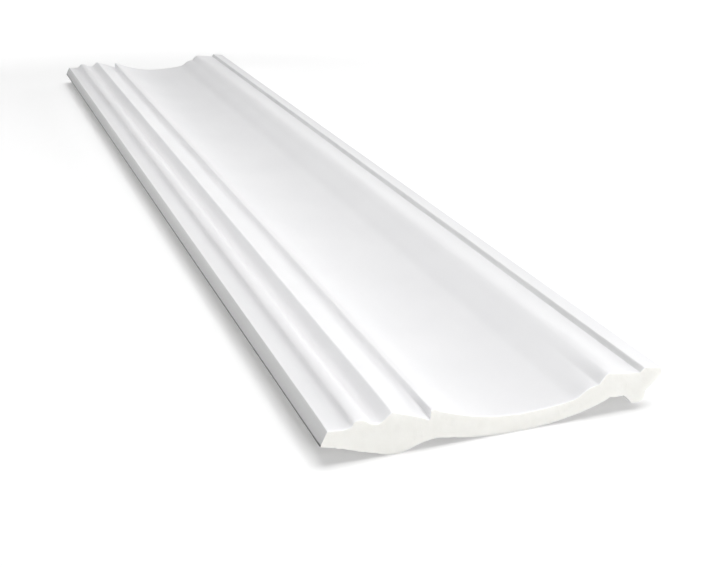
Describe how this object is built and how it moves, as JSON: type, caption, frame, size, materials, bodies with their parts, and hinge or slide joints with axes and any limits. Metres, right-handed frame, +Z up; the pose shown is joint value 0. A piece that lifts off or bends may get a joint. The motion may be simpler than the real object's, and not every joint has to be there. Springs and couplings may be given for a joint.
{
  "type": "cornice moulding",
  "caption": "Length of white foam cornice moulding with a beaded thick edge, a broad cove and a thin raised lip, for the corner where wall meets ceiling.",
  "frame": {"origin": "middle of the piece on the surface it lies on, under the centre of its bounding box", "axes": "+X across the face from the thick beaded edge to the thin lip, +Y along the length towards the far sawn end, +Z up out of the decorated face"},
  "size_m": [0.15, 0.75, 0.0189],
  "materials": {
    "white_foam": "smooth satin white coat on the moulded faces, fine open foam grain on the sawn ends"
  },
  "bodies": {
    "root": {"cornice_moulding": "white_foam"}
  },
  "joints": []
}
